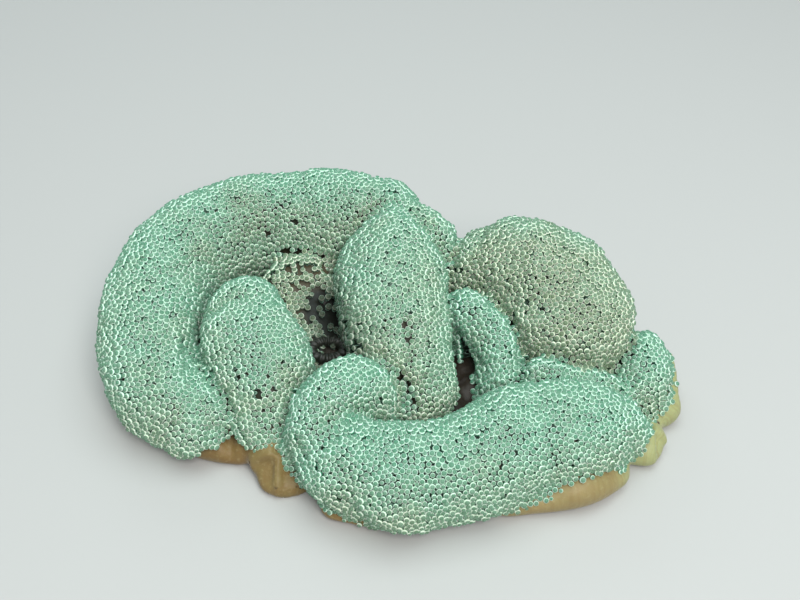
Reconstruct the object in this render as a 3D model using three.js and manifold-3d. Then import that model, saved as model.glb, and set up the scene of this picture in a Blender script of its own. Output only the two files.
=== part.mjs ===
// A folded carpet anemone at rest: thick rolled folds of the tentacle-covered disc round a
// hollow that holds the mouth, on a short column, with the smooth underside showing at the
// floor. Millimetres, +Z up, the front towards -Y, the origin on the floor under the middle.
// The folds are drawn out to the tips of their tentacles.

import * as THREE from 'three';
import { mergeVertices } from 'three/addons/utils/BufferGeometryUtils.js';
import Module from 'manifold-3d';

const wasm = await Module();
wasm.setup();
const { Manifold, Mesh: Shell } = wasm;

// ---------------------------------------------------------------- driving dimensions

const GAP = 0.3;               // kept between neighbouring solids
const FACETS = 14;             // round each fold
const RINGS_PER_STATION = 2;   // along each fold
const CAP_RINGS = 2;           // in each rounded end
const FLOOR_SLAB = 400;        // square slab that trims everything flat at z = 0
const FLOOR_DEPTH = 60;

const MOUTH = { x: -29, y: -4, z: 22.5, ringRadius: 7, lipRadius: 3 };

// A fold is a rolled length of flesh. Each station on its centre line is
// [x, y, z, half width across, half height]; both ends are rounded. `parts` names the lengths
// it is divided into, each with the number of the station where it ends.

const FOLDS = {
  centre: {
    stations: [
      [4, 48, 38, 25, 30],
      [1, 26, 38, 28, 31],
      [3, 0, 34, 26, 28],
      [8, -20, 26, 22, 24],
      [12, -29, 20, 20, 18],
    ],
    parts: { fold_centre: 4 },
  },
  innerLeft: {
    stations: [
      [-67, 2, 32, 20, 24],
      [-64, -10, 29, 25, 26],
      [-57, -26, 23, 26, 23],
      [-54, -42, 15, 22, 17],
    ],
    parts: { fold_inner_left: 3 },
  },
  curl: {
    stations: [
      [4, -39, 20, 14, 17],
      [-12, -40, 26, 16, 20],
      [-25, -50, 27, 17, 22],
      [-30, -64, 23, 17, 20],
    ],
    parts: { fold_curl: 3 },
  },
  front: {
    stations: [
      [-23, -68, 20, 22, 20],
      [-5, -79, 20, 24, 21],
      [19, -80, 20, 24, 22],
      [45, -68, 20, 26, 23],
      [71, -56, 20, 26, 23],
      [88, -50, 18, 25, 21],
      [97, -46, 16, 21, 18],
    ],
    parts: { fold_front_left: 2, fold_front: 4, fold_front_right: 6 },
  },
  tongue: {
    stations: [
      [37, 6, 28, 13, 22],
      [47, -8, 24, 13, 20],
      [51, -22, 18, 13, 16],
    ],
    parts: { fold_tongue: 2 },
  },
  right: {
    stations: [
      [48, 38, 32, 22, 25],
      [61, 32, 34, 29, 34],
      [77, 21, 34, 31, 35],
      [86, 2, 32, 30, 30],
    ],
    parts: { fold_right_back: 1, fold_right: 3 },
  },
  edge: {
    stations: [
      [117, -9, 18, 16, 18],
      [116, -23, 16, 15, 16],
      [107, -34, 14, 13, 14],
    ],
    parts: { fold_right_edge: 2 },
  },
  ruffle: {
    stations: [
      [70, -29, 25, 11, 14],
      [83, -31, 23, 11, 13],
      [98, -32, 21, 10, 13],
    ],
    parts: { fold_front_ruffle: 2 },
  },
  outer: {
    stations: [
      [-86, -43, 15, 20, 19],
      [-107, -28, 22, 22, 24],
      [-114, 7, 28, 24, 28],
      [-106, 46, 32, 25, 31],
      [-83, 70, 33, 24, 30],
      [-49, 77, 34, 25, 30],
      [-15, 71, 37, 25, 32],
      [13, 50, 38, 21, 30],
    ],
    parts: {
      fold_left_end: 1,
      fold_left: 3,
      fold_back_left: 4,
      fold_back: 5,
      fold_back_right: 7,
    },
  },
};

// The bare floor of the hollow, sloping down from the back fold to the mouth.

const DISC = [
  [-45, 40, 25, 22, 13],
  [-37, 18, 15, 18, 12],
  [-31, -4, 12, 16, 10],
];

// The column and its foot, broad and low under all the folds.

const COLUMN = [
  [-67, 16, 4, 50, 11],
  [-1, 2, 4, 58, 12],
  [65, -12, 4, 48, 11],
];

// Puffed edges of the underside, where the disc turns back above the floor.

const UNDERSIDES = {
  underside_front: [
    [51, -74, 6, 16, 10],
    [71, -71, 7, 17, 11],
    [83, -67, 7, 17, 11],
    [93, -61, 6, 16, 10],
  ],
  underside_right: [
    [123, -8, 9, 17, 13],
    [119, -25, 7, 18, 11],
  ],
  underside_right_knob: [
    [108, -46, 6, 14, 9],
    [115, -48, 6, 14, 9],
  ],
  underside_left_flap: [
    [-47, -56, 8, 17, 11],
    [-44, -66, 5, 16, 8],
  ],
  underside_left: [
    [-81, -44, 5, 13, 9],
    [-67, -48, 5, 13, 9],
  ],
  underside_front_left: [
    [-21, -79, 4, 13, 6],
    [-5, -83, 4, 13, 6],
  ],
  underside_left_side: [
    [-112, -14, 4, 16, 9],
    [-116, 12, 4, 16, 9],
    [-108, 38, 4, 16, 9],
  ],
  underside_back: [
    [-88, 68, 4, 16, 9],
    [-50, 81, 4, 16, 9],
    [-14, 74, 4, 16, 9],
  ],
  underside_back_right: [
    [52, 38, 4, 16, 9],
    [80, 28, 4, 16, 9],
    [98, 8, 4, 16, 9],
  ],
};

// ---------------------------------------------------------------- materials

function flesh(colour, roughness) {
  return new THREE.MeshStandardMaterial({ color: colour, roughness, metalness: 0 });
}

const TENTACLES = flesh(0x79b092, 0.55);
const BARE_DISC = flesh(0x6d6449, 0.6);
const LIPS = flesh(0x8f8258, 0.5);
const UNDERSIDE = flesh(0xa8905a, 0.5);

// ---------------------------------------------------------------- shapes

// Centre, half sizes and directions of a fold at each place along its stations, where a place
// is a station's number or lies between two of them.

class Spine {
  constructor(stations) {
    this.last = stations.length - 1;
    this.path = new THREE.CatmullRomCurve3(
      stations.map(([x, y, z]) => new THREE.Vector3(x, y, z)), false, 'catmullrom', 0.5);
    this.sizes = new THREE.CatmullRomCurve3(
      stations.map((station) => new THREE.Vector3(station[3], station[4], 0)),
      false, 'catmullrom', 0.5);
  }

  at(place) {
    const share = place / this.last;
    const forward = this.path.getTangent(share);
    const up = new THREE.Vector3(0, 0, 1);
    up.addScaledVector(forward, -forward.z).normalize();
    const side = new THREE.Vector3().crossVectors(forward, up);
    const { x: width, y: height } = this.sizes.getPoint(share);
    return { centre: this.path.getPoint(share), forward, up, side, width, height };
  }
}

// One ring of points round a fold, shifted along it and scaled for a rounded end.

function ring(frame, shift, scale, grow) {
  const points = [];
  for (let facet = 0; facet < FACETS; facet += 1) {
    const angle = (2 * Math.PI * facet) / FACETS;
    const across = Math.cos(angle) * (frame.width + grow) * scale;
    const upward = Math.sin(angle) * (frame.height + grow) * scale;
    points.push(frame.centre.clone()
      .addScaledVector(frame.forward, shift)
      .addScaledVector(frame.side, across)
      .addScaledVector(frame.up, upward));
  }
  return points;
}

// The rings and the tip of one rounded end, from the full section outwards; `way` is -1 at
// the start of a fold and 1 at its finish.

function roundedEnd(frame, way, grow) {
  const reach = (frame.width + frame.height) / 2 + grow;
  const rings = [];
  for (let step = 0; step <= CAP_RINGS; step += 1) {
    const angle = (Math.PI / 2) * (step / (CAP_RINGS + 1));
    rings.push(ring(frame, way * reach * Math.sin(angle), Math.cos(angle), grow));
  }
  return { rings, tip: frame.centre.clone().addScaledVector(frame.forward, way * reach) };
}

// The single ring and the middle of one flat end.

function flatEnd(frame, shift, grow) {
  const tip = frame.centre.clone().addScaledVector(frame.forward, shift);
  return { rings: [ring(frame, shift, 1, grow)], tip };
}

// A closed length of a fold between two stations. The true ends of the fold are rounded; a
// station where it is divided is flat, half a gap short of the cut.

function foldGeometry(stations, from = 0, to = stations.length - 1, grow = 0) {
  const spine = new Spine(stations);
  const start = spine.at(from);
  const finish = spine.at(to);
  const head = from === 0 ? roundedEnd(start, -1, grow) : flatEnd(start, GAP / 2, grow);
  const tail = to === spine.last ? roundedEnd(finish, 1, grow) : flatEnd(finish, -GAP / 2, grow);
  const rings = [...head.rings].reverse();
  for (let step = 1; step < (to - from) * RINGS_PER_STATION; step += 1) {
    rings.push(ring(spine.at(from + step / RINGS_PER_STATION), 0, 1, grow));
  }
  rings.push(...tail.rings);
  return ringsToGeometry(rings, head.tip, tail.tip);
}

// Joins rings of FACETS points, and one point at each end, into a closed surface.

function ringsToGeometry(rings, first, last) {
  const points = [first, ...rings.flat(), last];
  const faces = [];
  const at = (row, facet) => 1 + row * FACETS + (facet % FACETS);
  const lastPoint = points.length - 1;
  for (let facet = 0; facet < FACETS; facet += 1) {
    faces.push(0, at(0, facet), at(0, facet + 1));
    faces.push(lastPoint, at(rings.length - 1, facet + 1), at(rings.length - 1, facet));
    for (let row = 0; row + 1 < rings.length; row += 1) {
      faces.push(at(row, facet), at(row + 1, facet), at(row, facet + 1));
      faces.push(at(row, facet + 1), at(row + 1, facet), at(row + 1, facet + 1));
    }
  }
  const geometry = new THREE.BufferGeometry().setFromPoints(points);
  geometry.setIndex(faces);
  return geometry;
}

// ---------------------------------------------------------------- joins and cuts

function toSolid(geometry) {
  const plain = geometry.clone();
  plain.deleteAttribute('normal');
  plain.deleteAttribute('uv');
  const welded = mergeVertices(plain, 1e-4);
  return new Manifold(new Shell({
    numProp: 3,
    vertProperties: new Float32Array(welded.attributes.position.array),
    triVerts: new Uint32Array(welded.index.array),
  }));
}

function toGeometry(solid) {
  const mesh = solid.getMesh();
  const geometry = new THREE.BufferGeometry();
  geometry.setAttribute('position', new THREE.BufferAttribute(mesh.vertProperties, 3));
  geometry.setIndex(new THREE.BufferAttribute(mesh.triVerts, 1));
  geometry.computeVertexNormals();
  return geometry;
}

// The largest closed body of a solid: what a neighbour cuts off as a scrap is dropped.

function largestBody(solid) {
  const bodies = solid.decompose();
  return bodies.reduce((best, body) => (body.volume() > best.volume() ? body : best));
}

const floor = toSolid(new THREE.BoxGeometry(FLOOR_SLAB, FLOOR_SLAB, FLOOR_DEPTH)
  .translate(0, 0, -FLOOR_DEPTH / 2));

// ---------------------------------------------------------------- the anemone

const anemone = new THREE.Group();
let taken = floor;             // the floor and all that is built so far, grown by the gap

function addPiece(name, geometry, material) {
  const solid = largestBody(toSolid(geometry).subtract(taken));
  const mesh = new THREE.Mesh(toGeometry(solid), material);
  mesh.name = name;
  anemone.add(mesh);
}

function claim(stations) {
  taken = taken.add(toSolid(foldGeometry(stations, 0, stations.length - 1, GAP)));
}

function addFold({ stations, parts }) {
  let from = 0;
  for (const [name, to] of Object.entries(parts)) {
    addPiece(name, foldGeometry(stations, from, to), TENTACLES);
    from = to;
  }
  claim(stations);
}

function addRoll(name, stations, material) {
  addPiece(name, foldGeometry(stations), material);
  claim(stations);
}

// A low ring of lips with a pursed middle, standing on the floor of the hollow.

function mouthGeometry(grow) {
  const { ringRadius, lipRadius } = MOUTH;
  const outline = new THREE.Path();
  outline.moveTo(0, -lipRadius - grow);
  outline.lineTo(ringRadius, -lipRadius - grow);
  outline.absarc(ringRadius, 0, lipRadius + grow, -Math.PI / 2, Math.PI * 0.75, false);
  outline.lineTo(0, -lipRadius * 0.2 + grow);
  const lathe = new THREE.LatheGeometry(outline.getPoints(3), FACETS);
  return lathe.rotateX(Math.PI / 2).translate(MOUTH.x, MOUTH.y, MOUTH.z);
}

function addMouth() {
  addPiece('mouth', mouthGeometry(0), LIPS);
  taken = taken.add(toSolid(mouthGeometry(GAP)));
}

for (const fold of Object.values(FOLDS)) {
  addFold(fold);
}
addMouth();
addRoll('oral_disc', DISC, BARE_DISC);
addRoll('column', COLUMN, UNDERSIDE);
for (const [name, stations] of Object.entries(UNDERSIDES)) {
  addRoll(name, stations, UNDERSIDE);
}

export default anemone;
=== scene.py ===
"""The looks of a folded carpet anemone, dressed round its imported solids.

One skin of flesh takes the place of every solid of the body. A coat of short tentacles, each a
stalk under a round bead, stands on the skin and reaches out to the solids' own surface. Shapes
are worked out in millimetres and put into the meshes in metres.
"""

import logging
import math
from dataclasses import dataclass, field
from enum import Enum
from typing import Any

import bpy
import numpy as np
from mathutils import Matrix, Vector
from mathutils.bvhtree import BVHTree
from mathutils.kdtree import KDTree

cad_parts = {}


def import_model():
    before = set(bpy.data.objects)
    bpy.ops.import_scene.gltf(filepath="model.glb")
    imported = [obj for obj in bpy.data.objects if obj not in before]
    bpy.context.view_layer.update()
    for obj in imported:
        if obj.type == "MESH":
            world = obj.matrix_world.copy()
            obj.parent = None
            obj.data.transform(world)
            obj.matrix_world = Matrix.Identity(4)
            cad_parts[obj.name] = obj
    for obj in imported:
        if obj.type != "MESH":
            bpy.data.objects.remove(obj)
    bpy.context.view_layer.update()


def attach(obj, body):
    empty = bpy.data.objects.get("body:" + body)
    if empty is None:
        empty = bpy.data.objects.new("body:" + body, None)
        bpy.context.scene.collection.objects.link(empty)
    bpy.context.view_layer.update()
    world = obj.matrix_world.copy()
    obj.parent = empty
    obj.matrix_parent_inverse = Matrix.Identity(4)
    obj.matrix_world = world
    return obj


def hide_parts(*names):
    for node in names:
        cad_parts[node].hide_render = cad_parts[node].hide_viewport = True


LOG = logging.getLogger("anemone")
MM = 0.001
SEED = 20

Array = np.ndarray


# ------------------------------------------------------------------ the folds of the body


class Cover(Enum):
    """What the surface of a fold bears."""

    TENTACLES = 0
    BARE = 1
    UNDERSIDE = 2
    INNER = 3


@dataclass(frozen=True)
class Fold:
    """A rolled length of flesh, swept along a smooth line through its stations.

    Attributes:
        name: the fold's plain name.
        stations: rows of x, y, z, half width across and half height, in mm.
        cover: what its surface bears.
        parts: the solids it stands for, each with the number of the station where it ends.
        spacing: how far apart its tentacles stand, against the usual distance.
        olive: from 0, mint green, to 1, olive grey.
    """

    name: str
    stations: tuple[tuple[float, ...], ...]
    cover: Cover = Cover.TENTACLES
    parts: tuple[tuple[str, int], ...] = ()
    spacing: float = 1.0
    olive: float = 0.3

    def part_at(self, place: Array) -> Array:
        """Numbers the part that each place along the stations lies in."""
        ends = np.array([end for _, end in self.parts[:-1]], float)
        return np.searchsorted(ends, place)


FOLDS: tuple[Fold, ...] = (
    Fold(
        "centre",
        (
            (4, 48, 38, 25, 30),
            (1, 26, 38, 28, 31),
            (3, 0, 34, 26, 28),
            (8, -20, 26, 22, 24),
            (12, -29, 20, 20, 18),
        ),
        parts=(("fold_centre", 4),),
        olive=0.45,
    ),
    Fold(
        "inner_left",
        (
            (-67, 2, 32, 20, 24),
            (-64, -10, 29, 25, 26),
            (-57, -26, 23, 26, 23),
            (-54, -42, 15, 22, 17),
        ),
        parts=(("fold_inner_left", 3),),
        olive=0.35,
    ),
    Fold(
        "curl",
        (
            (-5, -39, 21, 14, 17),
            (-12, -40, 26, 16, 20),
            (-25, -50, 27, 17, 22),
            (-30, -64, 23, 17, 20),
        ),
        parts=(("fold_curl", 3),),
        olive=0.15,
    ),
    Fold(
        "front",
        (
            (-23, -68, 20, 22, 20),
            (-5, -79, 20, 24, 21),
            (19, -80, 20, 24, 22),
            (45, -68, 20, 26, 23),
            (71, -56, 20, 26, 23),
            (88, -50, 18, 25, 21),
            (97, -46, 16, 21, 18),
        ),
        parts=(("fold_front_left", 2), ("fold_front", 4), ("fold_front_right", 6)),
        spacing=0.98,
        olive=0.2,
    ),
    Fold(
        "tongue",
        (
            (38, 6, 28, 12, 22),
            (48.5, -8, 24, 11.5, 20),
            (52, -22, 18, 12, 16),
        ),
        parts=(("fold_tongue", 2),),
        olive=0.1,
    ),
    Fold(
        "right",
        (
            (48, 38, 32, 22, 25),
            (61, 32, 34, 29, 34),
            (77, 21, 34, 31, 35),
            (86, 2, 32, 30, 30),
        ),
        parts=(("fold_right_back", 1), ("fold_right", 3)),
        spacing=0.98,
        olive=0.85,
    ),
    Fold(
        "edge",
        (
            (117, -9, 18, 16, 18),
            (116, -23, 16, 15, 16),
            (107, -34, 14, 13, 14),
        ),
        parts=(("fold_right_edge", 2),),
        olive=0.3,
    ),
    Fold(
        "ruffle",
        (
            (70, -29, 25, 11, 14),
            (83, -31, 23, 11, 13),
            (98, -32, 21, 10, 13),
        ),
        parts=(("fold_front_ruffle", 2),),
        olive=0.1,
    ),
    Fold(
        "outer",
        (
            (-86, -43, 15, 20, 19),
            (-107, -28, 22, 22, 24),
            (-114, 7, 28, 24, 28),
            (-106, 46, 32, 25, 31),
            (-83, 70, 33, 24, 30),
            (-49, 77, 34, 25, 30),
            (-15, 71, 37, 25, 32),
            (13, 50, 38, 21, 30),
        ),
        parts=(
            ("fold_left_end", 1),
            ("fold_left", 3),
            ("fold_back_left", 4),
            ("fold_back", 5),
            ("fold_back_right", 7),
        ),
        spacing=1.02,
        olive=0.3,
    ),
    Fold(
        "hollow_floor",
        (
            (-45, 40, 25, 22, 13),
            (-37, 18, 15, 18, 12),
            (-31, -4, 12, 16, 10),
        ),
        Cover.BARE,
        (("oral_disc", 2),),
        spacing=1.12,
        olive=1.0,
    ),
    Fold(
        "column",
        (
            (-67, 16, 4, 50, 11),
            (-1, 2, 4, 58, 12),
            (65, -12, 4, 48, 11),
        ),
        Cover.INNER,
        (("column", 2),),
    ),
    Fold(
        "front_hem",
        (
            (51, -74, 6, 16, 10),
            (71, -71, 7, 17, 11),
            (83, -67, 7, 17, 11),
            (93, -61, 6, 16, 10),
        ),
        Cover.UNDERSIDE,
        (("underside_front", 3),),
    ),
    Fold(
        "right_hem",
        (
            (123, -8, 9, 17, 13),
            (119, -25, 7, 18, 11),
        ),
        Cover.UNDERSIDE,
        (("underside_right", 1),),
    ),
    Fold(
        "right_knob",
        (
            (108, -46, 6, 14, 9),
            (115, -48, 6, 14, 9),
        ),
        Cover.UNDERSIDE,
        (("underside_right_knob", 1),),
    ),
    Fold(
        "left_flap",
        (
            (-47, -56, 8, 17, 11),
            (-44, -66, 5, 16, 8),
        ),
        Cover.UNDERSIDE,
        (("underside_left_flap", 1),),
    ),
    Fold(
        "left_hem",
        (
            (-81, -44, 5, 13, 9),
            (-67, -48, 5, 13, 9),
        ),
        Cover.UNDERSIDE,
        (("underside_left", 1),),
    ),
    Fold(
        "front_left_hem",
        (
            (-21, -79, 4, 13, 6),
            (-5, -83, 4, 13, 6),
        ),
        Cover.UNDERSIDE,
        (("underside_front_left", 1),),
    ),
    Fold(
        "side_hem",
        (
            (-112, -14, 4, 16, 9),
            (-116, 12, 4, 16, 9),
            (-108, 38, 4, 16, 9),
        ),
        Cover.UNDERSIDE,
        (("underside_left_side", 2),),
    ),
    Fold(
        "back_hem",
        (
            (-88, 68, 4, 16, 9),
            (-50, 81, 4, 16, 9),
            (-14, 74, 4, 16, 9),
        ),
        Cover.UNDERSIDE,
        (("underside_back", 2),),
    ),
    Fold(
        "back_right_hem",
        (
            (52, 38, 4, 16, 9),
            (80, 28, 4, 16, 9),
            (98, 8, 4, 16, 9),
        ),
        Cover.UNDERSIDE,
        (("underside_back_right", 2),),
    ),
)


def through(stations: Array, places: Array) -> Array:
    """Follows a smooth curve through the stations.

    Each span is the cubic whose slope at a station is half the step between that station's two
    neighbours; beyond each end the last step is repeated.

    Args:
        stations: one row for each station.
        places: station numbers, whole or between two.

    Returns:
        The curve's rows at the places.
    """
    last = len(stations) - 1
    ends = (2 * stations[:1] - stations[1:2], 2 * stations[-1:] - stations[-2:-1])
    rows = np.vstack([ends[0], stations, ends[1]])
    span = np.clip(np.floor(places).astype(int), 0, last - 1)
    w = (places - span)[:, None]
    a, b, c, d = (rows[span + step] for step in range(4))
    straight = 2 * b + (c - a) * w
    return 0.5 * (straight + (2 * a - 5 * b + 4 * c - d) * w**2 + (3 * b - a - 3 * c + d) * w**3)


@dataclass(frozen=True)
class Sweep:
    """A fold's surface as a grid of rings.

    Attributes:
        points: rings by places round them by xyz, in mm.
        tips: the two points that close the ends.
        place: each ring's station number, held at the ends over the rounded tips.
        along: each ring's distance along the surface, in mm.
        turn: each column's angle round the ring, from its outer side over the top.
    """

    points: Array
    tips: Array
    place: Array
    along: Array
    turn: Array

    def faces(self) -> list[tuple[int, ...]]:
        """Lists the quads between rings and the triangles round each tip."""
        rows, columns = self.points.shape[:2]
        row, column = np.meshgrid(np.arange(rows - 1), np.arange(columns), indexing="ij")
        beside = (column + 1) % columns
        corners = (
            row * columns + column,
            (row + 1) * columns + column,
            (row + 1) * columns + beside,
            row * columns + beside,
        )
        quads = np.stack(corners, -1).reshape(-1, 4)
        one = np.arange(columns)
        two = (one + 1) % columns
        start = np.stack([np.full(columns, rows * columns), one, two], -1)
        tail = (rows - 1) * columns
        finish = np.stack([np.full(columns, rows * columns + 1), tail + two, tail + one], -1)
        return [tuple(face) for part in (quads, start, finish) for face in part.tolist()]

    def vertices(self) -> Array:
        """Lists the grid's points and then the two tips."""
        return np.vstack([self.points.reshape(-1, 3), self.tips])


def sweep(fold: Fold, inset: float, step: float) -> Sweep:
    """Sweeps an ellipse along the fold and rounds its two ends.

    A point lies at centre + side * cos(turn) * width + up * sin(turn) * height. Over an end the
    ring moves on by reach * sin(angle) and shrinks by cos(angle), with the reach the mean of the
    two half sizes.

    Args:
        fold: the fold.
        inset: how far inside the fold's full size the surface lies, in mm.
        step: the size of one cell of the grid, about, in mm.

    Returns:
        The surface's grid.
    """
    stations = np.array(fold.stations, float)
    last = len(stations) - 1
    length = np.linalg.norm(np.diff(stations[:, :3], axis=0), axis=1).sum()
    body = np.linspace(0, last, max(4, int(length / step) + 1))
    rows = through(stations, body)
    nudge = 1e-3
    ahead = through(stations[:, :3], np.minimum(body + nudge, last))
    forward = ahead - through(stations[:, :3], np.maximum(body - nudge, 0))
    half = np.maximum(rows[:, 3:5] - inset, 2.0)
    reach = half.mean(axis=1)
    cap = np.linspace(0, math.pi / 2, max(4, int(reach.mean() * 1.6 / step)), endpoint=False)[1:]

    index = np.concatenate([np.zeros(len(cap), int), np.arange(len(body)), np.full(len(cap), -1)])
    angle = np.concatenate([-cap[::-1], np.zeros(len(body)), cap])
    forward = (forward / np.linalg.norm(forward, axis=1, keepdims=True))[index]
    up = np.array([0.0, 0.0, 1.0]) - forward * forward[:, 2:]
    up /= np.linalg.norm(up, axis=1, keepdims=True)
    side = np.cross(forward, up)
    centre = rows[index, :3] + forward * (reach[index] * np.sin(angle))[:, None]
    size = half[index] * np.cos(angle)[:, None]

    turn = np.arange(max(12, int(2 * math.pi * reach.mean() / step))) / 1.0
    turn *= 2 * math.pi / len(turn)
    across = side[:, None] * (np.cos(turn) * size[:, :1])[..., None]
    upward = up[:, None] * (np.sin(turn) * size[:, 1:])[..., None]
    tips = np.stack([rows[0, :3] - forward[0] * reach[0], rows[-1, :3] + forward[-1] * reach[-1]])
    middle = centre[:, None] + upward + across
    gaps = np.linalg.norm(np.diff(centre, axis=0), axis=1)
    bulge = np.abs(np.diff(size.mean(axis=1)))
    along = np.concatenate([[0.0], np.cumsum(np.hypot(gaps, bulge))])
    return Sweep(middle, tips, body[index], along, turn)


# ------------------------------------------------------------------ surface relief


def line_distance(points: Array, line: Array) -> Array:
    """Gives each point's distance from a line through the rows of another array."""
    nearest = np.full(len(points), np.inf)
    for start, end in zip(line[:-1], line[1:]):
        run = end - start
        share = np.clip(((points - start) @ run) / (run @ run), 0, 1)
        gap = np.linalg.norm(points - start - share[:, None] * run, axis=1)
        nearest = np.minimum(nearest, gap)
    return nearest


@dataclass(frozen=True)
class Crease:
    """A furrow pressed into the flesh along a line.

    Attributes:
        path: the line's points, in mm.
        width: how wide the furrow is to each side, in mm.
        depth: how deep it is pressed, in mm.
        bare: how far to each side of it no tentacle grows, in mm.
    """

    path: tuple[tuple[float, float, float], ...]
    width: float
    depth: float
    bare: float = 0.0

    def press(self, points: Array) -> Array:
        """Gives how deep each point is pressed: the depth times exp(-(distance / width)^2)."""
        nearest = line_distance(points, np.array(self.path, float))
        return self.depth * np.exp(-((nearest / self.width) ** 2))

    def is_bare(self, points: Array, normals: Array) -> Array:
        """Tells which points lie on the bare strip, once they are moved back up to the line."""
        line = np.array(self.path, float)
        near = np.full(len(points), np.inf)
        for lift in np.linspace(-0.5, 1.6 * self.depth, 7):
            near = np.minimum(near, line_distance(points + normals * lift, line))
        return near < self.bare


CREASES: tuple[Crease, ...] = (
    Crease(((28, -14, 48), (32, -20, 36), (36, -27, 16)), 3.5, 6.0),
    Crease(((1, -30, 38), (3, -32, 36), (6, -35, 34), (9, -38, 29), (11, -41, 24)), 3.0, 4.0, 1.1),
    Crease(((7, -20, 52), (8.5, -25, 48.5), (10, -30, 45), (10, -34, 41)), 2.0, 3.2, 0.3),
    Crease(((-92, -16, 37), (-89, -30, 36), (-86, -48, 33), (-77, -56, 20)), 4.0, 3.0),
    Crease(((30.5, -7, 27), (32.5, -9, 23), (35.5, -12, 17)), 3.5, 3.0, 2.8),
    Crease(((-82, -6, 49), (-74, -3, 56), (-64, -2, 58)), 3.5, 4.0),
    Crease(((-24, -68, 44), (-20, -84, 38), (-18, -100, 20)), 6.0, 2.0),
    Crease(((62, -60, 44), (68, -78, 34), (70, -84, 20)), 6.0, 1.6),
    Crease(((-104, 40, 64), (-92, 30, 62), (-84, 22, 54)), 6.0, 2.0),
    Crease(((-9, 98, 52), (-5, 80, 70), (-4, 62, 68)), 7.0, 2.6),
    Crease(((84, 34, 60), (78, 10, 70), (72, -8, 60)), 7.0, 2.0),
)


@dataclass(frozen=True)
class Ripples:
    """Soft swellings of the flesh, made of crossing waves.

    Attributes:
        wavelength: the usual distance from crest to crest, in mm.
        seed: which set of waves.
        waves: how many waves cross.
    """

    wavelength: float
    seed: int
    waves: int = 14

    def height(self, points: Array) -> Array:
        """Adds up sine waves in seeded directions; the sum stays mostly between -1 and 1."""
        rng = np.random.default_rng(self.seed)
        heading = rng.normal(size=(self.waves, 3))
        heading /= np.linalg.norm(heading, axis=1, keepdims=True)
        count = 2 * math.pi / (self.wavelength * rng.uniform(0.7, 1.5, self.waves))
        start = rng.uniform(0, 2 * math.pi, self.waves)
        total = np.sin(points @ (heading * count[:, None]).T + start).sum(axis=1)
        return total / math.sqrt(self.waves)


def hem_height(points: Array) -> Array:
    """Gives the height of the lowest tentacles, in mm: low all round, and higher at the front left.

    The rise there is 11 mm at x = -68 and falls off by the fourth power within 22 mm.
    """
    low = np.maximum(2.2 + 1.2 * Ripples(22.0, 9).height(points), 1.2)
    rise = 11.0 * np.exp(-(((points[:, 0] + 68) / 22) ** 4))
    return low + rise * (points[:, 1] < -40)


HOLLOW_LINE = np.array([(-32.0, 22.0, 0.0), (-28, 12, 0), (-25, 0, 0), (-22, -8, 0), (-16, -20, 0)])


def painted_hollow_shade(points: Array) -> Array:
    """Tells how much painted shade the flesh takes, from 0 to 1: the painted shade deepens down into
    the hollow.

    It grows from nothing at a height of 52 mm to the whole at 28 mm, times
    exp(-(distance / 10)^2) with the distance seen from above from the hollow's middle line.
    """
    level = np.column_stack([points[:, :2], np.zeros(len(points))])
    aside = line_distance(level, HOLLOW_LINE)
    return np.clip((52 - points[:, 2]) / 24, 0, 1) * np.exp(-((aside / 10) ** 2))


SPARSE: tuple[tuple[float, ...], ...] = (
    (-52, -47, 32, 11),
    (34, 28, 45, 9),
    (70, -11, 49, 9),
    (-50, 54, 41, 12),
    (-20, 2, 46, 9),
)


def sparseness(points: Array) -> Array:
    """Tells how thinly tentacles stand, from 0 to 1: exp(-(distance / radius)^2) at a spot."""
    near = [np.exp(-((np.linalg.norm(points - spot[:3], axis=1) / spot[3]) ** 2)) for spot in SPARSE]
    return np.max(near, axis=0)


# ------------------------------------------------------------------ meshes


@dataclass
class Surface:
    """A closed surface of points and faces, in mm.

    Attributes:
        points: one row of xyz for each point.
        quads: four point numbers for each face.
    """

    points: Array
    quads: Array

    def edges(self) -> Array:
        """Lists each face's four sides as pairs of point numbers."""
        return np.vstack([self.quads[:, [k, (k + 1) % 4]] for k in range(4)])

    def normals(self) -> Array:
        """Gives each point the mean direction of the faces round it, by their areas."""
        a, b, c, d = (self.points[self.quads[:, k]] for k in range(4))
        face = np.cross(c - a, d - b)
        total = np.zeros_like(self.points)
        for corner in range(4):
            np.add.at(total, self.quads[:, corner], face)
        return total / np.maximum(np.linalg.norm(total, axis=1, keepdims=True), 1e-12)

    def smooth(self, rounds: int) -> None:
        """Moves each point halfway to the mean of its neighbours, the given number of times."""
        pairs = self.edges()
        count = np.bincount(pairs.ravel(), minlength=len(self.points))[:, None]
        for _ in range(rounds):
            total = np.zeros_like(self.points)
            np.add.at(total, pairs[:, 0], self.points[pairs[:, 1]])
            np.add.at(total, pairs[:, 1], self.points[pairs[:, 0]])
            self.points = 0.5 * self.points + 0.5 * total / count

    def tree(self) -> BVHTree:
        """Makes a search tree of the faces."""
        return BVHTree.FromPolygons(self.points.tolist(), self.quads.tolist())


def new_object(name: str, points: Array, faces: list[Any] | Array) -> bpy.types.Object:
    """Makes an object of points in mm, with its mesh in metres and its faces smooth.

    Args:
        name: the object's name.
        points: one row of xyz for each point, in mm.
        faces: the point numbers of each face.

    Returns:
        The new object, in the scene.
    """
    mesh = bpy.data.meshes.new(name)
    listed = faces.tolist() if isinstance(faces, np.ndarray) else faces
    mesh.from_pydata((points * MM).tolist(), [], listed)
    mesh.polygons.foreach_set("use_smooth", np.ones(len(mesh.polygons), bool))
    mesh.update()
    made = bpy.data.objects.new(name, mesh)
    bpy.context.scene.collection.objects.link(made)
    return made


def set_attribute(mesh: bpy.types.Mesh, name: str, values: Array) -> None:
    """Stores one number for each point of a mesh under a name."""
    layer = mesh.attributes.new(name, "FLOAT", "POINT")
    layer.data.foreach_set("value", values.astype(np.float32))


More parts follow.
